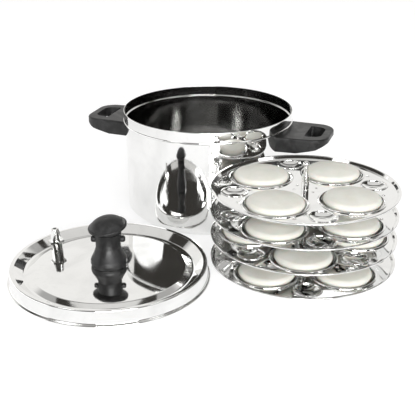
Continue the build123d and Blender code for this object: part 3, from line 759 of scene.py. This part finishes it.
def idli_form(name, floor, turn, seed):
    """Four idlis on a plate, each a little uneven."""
    bm = bmesh.new()
    depth = cup_depth - plate_sheet
    low_radius = cup_floor_radius - plate_sheet - idli_gap
    across = idli_radius - low_radius
    outline = [(0, -depth)]
    waist = idli_radius - idli_inset
    outline += arc(
        (low_radius, -depth),
        (low_radius + across * bulge_share, -depth * bulge_share),
        (waist, idli_waist_rise),
        14,
    )
    shoulder = (waist * idli_shoulder_share, idli_rise * idli_shoulder_rise_share)
    edge = (waist * idli_edge_share, idli_rise * idli_edge_rise_share)
    outline += arc((waist, idli_waist_rise), edge, shoulder, 8)[1:]
    crown_rise = idli_rise - shoulder[1]
    ball = (shoulder[0] ** 2 + crown_rise**2) / (2 * crown_rise)
    for i in range(1, 21):
        radius = shoulder[0] * (1 - i / 20)
        outline.append((radius, idli_rise - ball + math.sqrt(ball**2 - radius**2)))
    for k in range(cup_count):
        a = math.radians(turn + 45 + 90 * k)
        spot = rack_centre + Vector((cup_circle * math.cos(a), cup_circle * math.sin(a), floor))
        rows = []
        for radius, height in outline:
            if radius < 1e-6:
                rows.append([bm.verts.new((spot.x, spot.y, spot.z + height))])
            else:
                rows.append(ring(bm, (spot.x, spot.y), radius, spot.z + height, idli_segments))
        for row in rows:
            for vert in row:
                if vert.co.z > floor:
                    sway = noise.noise((vert.co + Vector((seed, k, 0))) * idli_sway_scale)
                    reach = min(1, (vert.co.z - floor) / idli_sway_reach)
                    vert.co.z -= (0.5 + 0.5 * sway) * idli_sway * reach
        for low, high in zip(rows, rows[1:]):
            for i in range(idli_segments):
                j = (i + 1) % idli_segments
                corners = []
                for vert in (low[i % len(low)], low[j % len(low)], high[j % len(high)], high[i % len(high)]):
                    if vert not in corners:
                        corners.append(vert)
                bm.faces.new(corners)
    bmesh.ops.recalc_face_normals(bm, faces=bm.faces)
    return new_object(name, bm, 60.0)


for level, (tier, turn) in enumerate(plate_turns.items()):
    floor = plate_floor_height + level * plate_spacing
    body = "rack" if tier == "bottom" else f"{tier}_plate"
    plate = plate_form(f"{tier}_plate_form", floor, turn)
    dress(plate, body, "polished_steel", steel_rack, f"{tier}_plate")
    idlis = idli_form(f"{tier}_idlis_form", floor, turn, level * 7.3)
    dress(idlis, body, "idli", idli_crumb, f"{tier}_idlis")

# Materials of the nodes that keep their own shape
node_materials = {
    "side_handle_left": phenolic,
    "side_handle_right": phenolic,
    "knob_stem": phenolic,
    "knob_cap": phenolic,
    "handle_brackets": turned_pot,
    "handle_screws": turned_pot,
    "knob_insert": brass,
    "knob_washer": turned_pot,
    "knob_screw": turned_pot,
    "vent_pipe": turned_vent,
    "vent_whistle": turned_vent,
    "vent_nut": turned_vent,
    "vent_gasket": silicone,
    "center_rod": turned_rack,
    "rod_nut": turned_rack,
    "lower_spacer": turned_rack,
    "middle_spacer": turned_rack,
    "upper_spacer": turned_rack,
    "finial": turned_rack,
}
for name, material in node_materials.items():
    nodes[name].data.materials.clear()
    nodes[name].data.materials.append(material)


def stage_material(name, colour, strength):
    """Matt stage surface that is lifted towards white for the camera and for reflections."""
    material = bpy.data.materials.new(name)
    material.use_nodes = True
    tree = material.node_tree
    shader = tree.nodes["Principled BSDF"]
    shader.inputs["Base Color"].default_value = (*colour, 1)
    shader.inputs["Roughness"].default_value = 0.9
    shader.inputs["Specular IOR Level"].default_value = 0.0
    path = tree.nodes.new("ShaderNodeLightPath")
    either = math_node(tree, "MAXIMUM", path.outputs["Is Camera Ray"], path.outputs["Is Glossy Ray"])
    either = math_node(tree, "MAXIMUM", either, path.outputs["Is Transmission Ray"])
    glow = tree.nodes.new("ShaderNodeEmission")
    glow.inputs["Color"].default_value = (1, 1, 1, 1)
    tree.links.new(math_node(tree, "MULTIPLY", either, strength), glow.inputs["Strength"])
    both = tree.nodes.new("ShaderNodeAddShader")
    tree.links.new(shader.outputs[0], both.inputs[0])
    tree.links.new(glow.outputs[0], both.inputs[1])
    tree.links.new(both.outputs[0], tree.nodes["Material Output"].inputs["Surface"])
    return material


def fading_card(name, low_glow, high_glow, fade_start, fade_end):
    """Upright card for reflections that fades from bright below to dim above."""
    material = bpy.data.materials.new(name)
    material.use_nodes = True
    tree = material.node_tree
    tree.nodes.remove(tree.nodes["Principled BSDF"])
    place = tree.nodes.new("ShaderNodeTexCoord")
    split = tree.nodes.new("ShaderNodeSeparateXYZ")
    tree.links.new(place.outputs["Object"], split.inputs[0])
    glow = tree.nodes.new("ShaderNodeEmission")
    glow.inputs["Color"].default_value = (1.0, 0.99, 0.97, 1)
    tree.links.new(
        ranged(tree, split.outputs["Y"], fade_start, fade_end, low_glow, high_glow),
        glow.inputs["Strength"],
    )
    tree.links.new(glow.outputs[0], tree.nodes["Material Output"].inputs["Surface"])
    return material


def stage_plane(name, size, place, turn, material):
    """Flat stage piece, a floor or a card."""
    bm = bmesh.new()
    bmesh.ops.create_grid(bm, x_segments=1, y_segments=1, size=0.5)
    bmesh.ops.scale(bm, vec=(size[0], size[1], 1), verts=bm.verts)
    mesh = bpy.data.meshes.new(name)
    bm.to_mesh(mesh)
    bm.free()
    piece = bpy.data.objects.new(name, mesh)
    piece.location = place
    piece.rotation_euler = turn
    bpy.context.scene.collection.objects.link(piece)
    mesh.materials.append(material)
    return piece


floor_material = stage_material("studio_floor", (0.5, 0.5, 0.5), 0.62)
stage_plane("studio_floor", (14.0, 14.0), (0, 0, 0), (0, 0, 0), floor_material)

white_card = stage_material("white_card", (0.8, 0.8, 0.8), 0.85)
back_paper = fading_card("back_paper", 1.0, 0.45, 0.1, 0.9)
top_paper = fading_card("top_paper", 0.8, 0.8, 0.0, 1.0)
stage_plane("back_card", (6.0, 3.6), (0.0, 2.2, 1.8), (math.pi / 2, 0, 0), back_paper)
stage_plane("left_card", (3.4, 1.2), (-2.2, 0.4, 0.6), (math.pi / 2, 0, math.pi / 2), white_card)
stage_plane("top_card", (4.0, 2.6), (-0.2, -0.1, 2.7), (0, 0, 0), top_paper)

world = bpy.data.worlds.new("studio")
bpy.context.scene.world = world
world.use_nodes = True
world_tree = world.node_tree
fill_light = world_tree.nodes["Background"]
fill_light.inputs["Color"].default_value = (0.4, 0.4, 0.41, 1)
dark_room = world_tree.nodes.new("ShaderNodeBackground")
dark_room.inputs["Color"].default_value = (0.045, 0.042, 0.038, 1)
world_path = world_tree.nodes.new("ShaderNodeLightPath")
world_mix = world_tree.nodes.new("ShaderNodeMixShader")
world_tree.links.new(world_path.outputs["Is Glossy Ray"], world_mix.inputs["Fac"])
world_tree.links.new(fill_light.outputs[0], world_mix.inputs[1])
world_tree.links.new(dark_room.outputs[0], world_mix.inputs[2])
world_tree.links.new(world_mix.outputs[0], world_tree.nodes["World Output"].inputs["Surface"])


def softbox(name, place, target, size, power):
    """Rectangular studio lamp aimed at a target."""
    lamp = bpy.data.lights.new(name, "AREA")
    lamp.shape = "RECTANGLE"
    lamp.size, lamp.size_y = size
    lamp.energy = power
    box = bpy.data.objects.new(name, lamp)
    box.location = place
    box.rotation_euler = (Vector(target) - Vector(place)).to_track_quat("-Z", "Y").to_euler()
    bpy.context.scene.collection.objects.link(box)
    return box


softbox("key_softbox", (-1.1, -0.8, 1.6), (0, -0.1, 0.05), (0.6, 0.6), 4.0)
softbox("front_softbox", (0.4, -2.4, 0.6), (0.1, -0.1, 0.05), (1.8, 0.5), 66.0)
softbox("fill_softbox", (1.3, -0.9, 1.4), (0, -0.1, 0.05), (0.5, 0.5), 3.0)

camera_data = bpy.data.cameras.new("photo_camera")
camera_data.sensor_width = sensor_width
camera_data.lens = focal_pixels * sensor_width / picture_width
camera_data.clip_start = 0.01
camera = bpy.data.objects.new("photo_camera", camera_data)
camera.location = camera_place
camera.rotation_euler = (math.pi / 2 - camera_pitch, 0, 0)
bpy.context.scene.collection.objects.link(camera)
bpy.context.scene.camera = camera
bpy.context.scene.view_settings.view_transform = "Standard"
